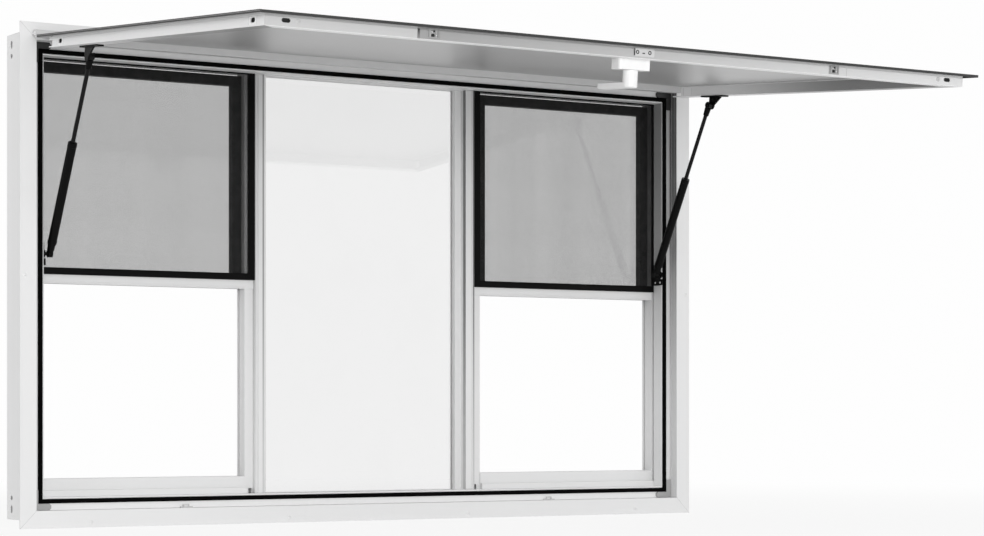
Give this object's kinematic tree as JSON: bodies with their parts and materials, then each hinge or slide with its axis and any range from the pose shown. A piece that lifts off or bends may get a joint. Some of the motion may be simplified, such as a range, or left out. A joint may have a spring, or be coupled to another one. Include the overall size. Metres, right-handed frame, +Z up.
{
  "type": "concession window with awning door",
  "caption": "White aluminium serving window with an awning door on gas struts, a fixed centre glass, and a raised sash and screen on each side.",
  "frame": {"origin": "middle of the flange strip under the body, on the wall face of the flange, at mid-width", "axes": "+X to the right seen from the front, +Y from the front into the wall, +Z up"},
  "size_m": [1.554, 1.0087, 0.944],
  "materials": {
    "white_aluminium": "white powder coat, satin",
    "dark_edge": "raw cut edge, satin",
    "black_aluminium": "black powder coat, satin",
    "gasket_rubber": "matte",
    "grey_plastic": "matte",
    "clear_glass": "clear",
    "screen_mesh": "fine woven mesh",
    "strut_black": "satin black",
    "latch_steel": "zinc plated",
    "white_plastic": "moulded, satin gloss"
  },
  "bodies": {
    "frame": {"frame_head": "white_aluminium", "frame_bottom": "white_aluminium", "frame_jamb_left": "white_aluminium", "frame_jamb_right": "white_aluminium", "corner_keys": "grey_plastic", "gasket": "gasket_rubber", "mullion_left": "white_aluminium", "mullion_right": "white_aluminium", "side_track_left": "white_aluminium", "side_track_right": "white_aluminium", "transom_left": "white_aluminium", "transom_right": "white_aluminium", "sill_track_left": "white_aluminium", "sill_track_right": "white_aluminium", "centre_glass": "clear_glass", "centre_bead": "white_aluminium", "sash_left_frame": "black_aluminium", "sash_left_glass": "clear_glass", "sash_right_frame": "black_aluminium", "sash_right_glass": "clear_glass", "screen_left_frame": "black_aluminium", "screen_left_mesh": "screen_mesh", "screen_right_frame": "black_aluminium", "screen_right_mesh": "screen_mesh", "striker_left": "latch_steel", "striker_right": "latch_steel", "strut_foot_left": "strut_black", "strut_foot_right": "strut_black"},
    "awning": {"awning_skin": "white_aluminium", "awning_edge_trim": "dark_edge", "awning_hinge_rail": "white_aluminium", "awning_rail_left": "white_aluminium", "awning_rail_right": "white_aluminium", "awning_rail_front": "white_aluminium", "awning_rail_rear": "white_aluminium", "latch_left": "latch_steel", "latch_right": "latch_steel", "lock_plate": "latch_steel", "strut_bracket_left": "strut_black", "strut_bracket_right": "strut_black", "handle_housing": "white_plastic"},
    "handle": {"handle_stem": "white_plastic", "handle_lever": "white_plastic"},
    "strut_rod_left_body": {"strut_rod_left": "strut_black"},
    "strut_rod_right_body": {"strut_rod_right": "strut_black"},
    "strut_cylinder_left_body": {"strut_cylinder_left": "strut_black"},
    "strut_cylinder_right_body": {"strut_cylinder_right": "strut_black"}
  },
  "joints": [
    {"name": "awning_hinge", "type": "hinge", "parent": "frame", "child": "awning", "pos_m": [0, -0.016, 0.9135], "axis": [1, 0, 0], "range_deg": [0, 85.3]},
    {"name": "handle_turn", "type": "hinge", "parent": "awning", "child": "handle", "pos_m": [0, -0.85125, 0.78463], "axis": [0, 0.0819, -0.9966], "range_deg": [0, 90]},
    {"name": "strut_left_swing", "type": "hinge", "parent": "awning", "child": "strut_rod_left_body", "pos_m": [-0.7065, -0.16372, 0.8552], "axis": [1, 0, 0], "range_deg": [-115.13, 0]},
    {"name": "strut_left_slide", "type": "slide", "parent": "strut_rod_left_body", "child": "strut_cylinder_left_body", "axis": [0, -0.4731, 0.881], "range_m": [0, 0.14058]},
    {"name": "strut_right_swing", "type": "hinge", "parent": "awning", "child": "strut_rod_right_body", "pos_m": [0.7065, -0.16372, 0.8552], "axis": [1, 0, 0], "range_deg": [-115.13, 0]},
    {"name": "strut_right_slide", "type": "slide", "parent": "strut_rod_right_body", "child": "strut_cylinder_right_body", "axis": [0, -0.4731, 0.881], "range_m": [0, 0.14058]}
  ],
  "couplings": [
    {"joint": "strut_left_swing", "follows": "awning_hinge", "ratio": -1.3495},
    {"joint": "strut_left_slide", "follows": "awning_hinge", "m_per_rad": 0.094419},
    {"joint": "strut_right_swing", "follows": "awning_hinge", "ratio": -1.3495},
    {"joint": "strut_right_slide", "follows": "awning_hinge", "m_per_rad": 0.094419}
  ]
}
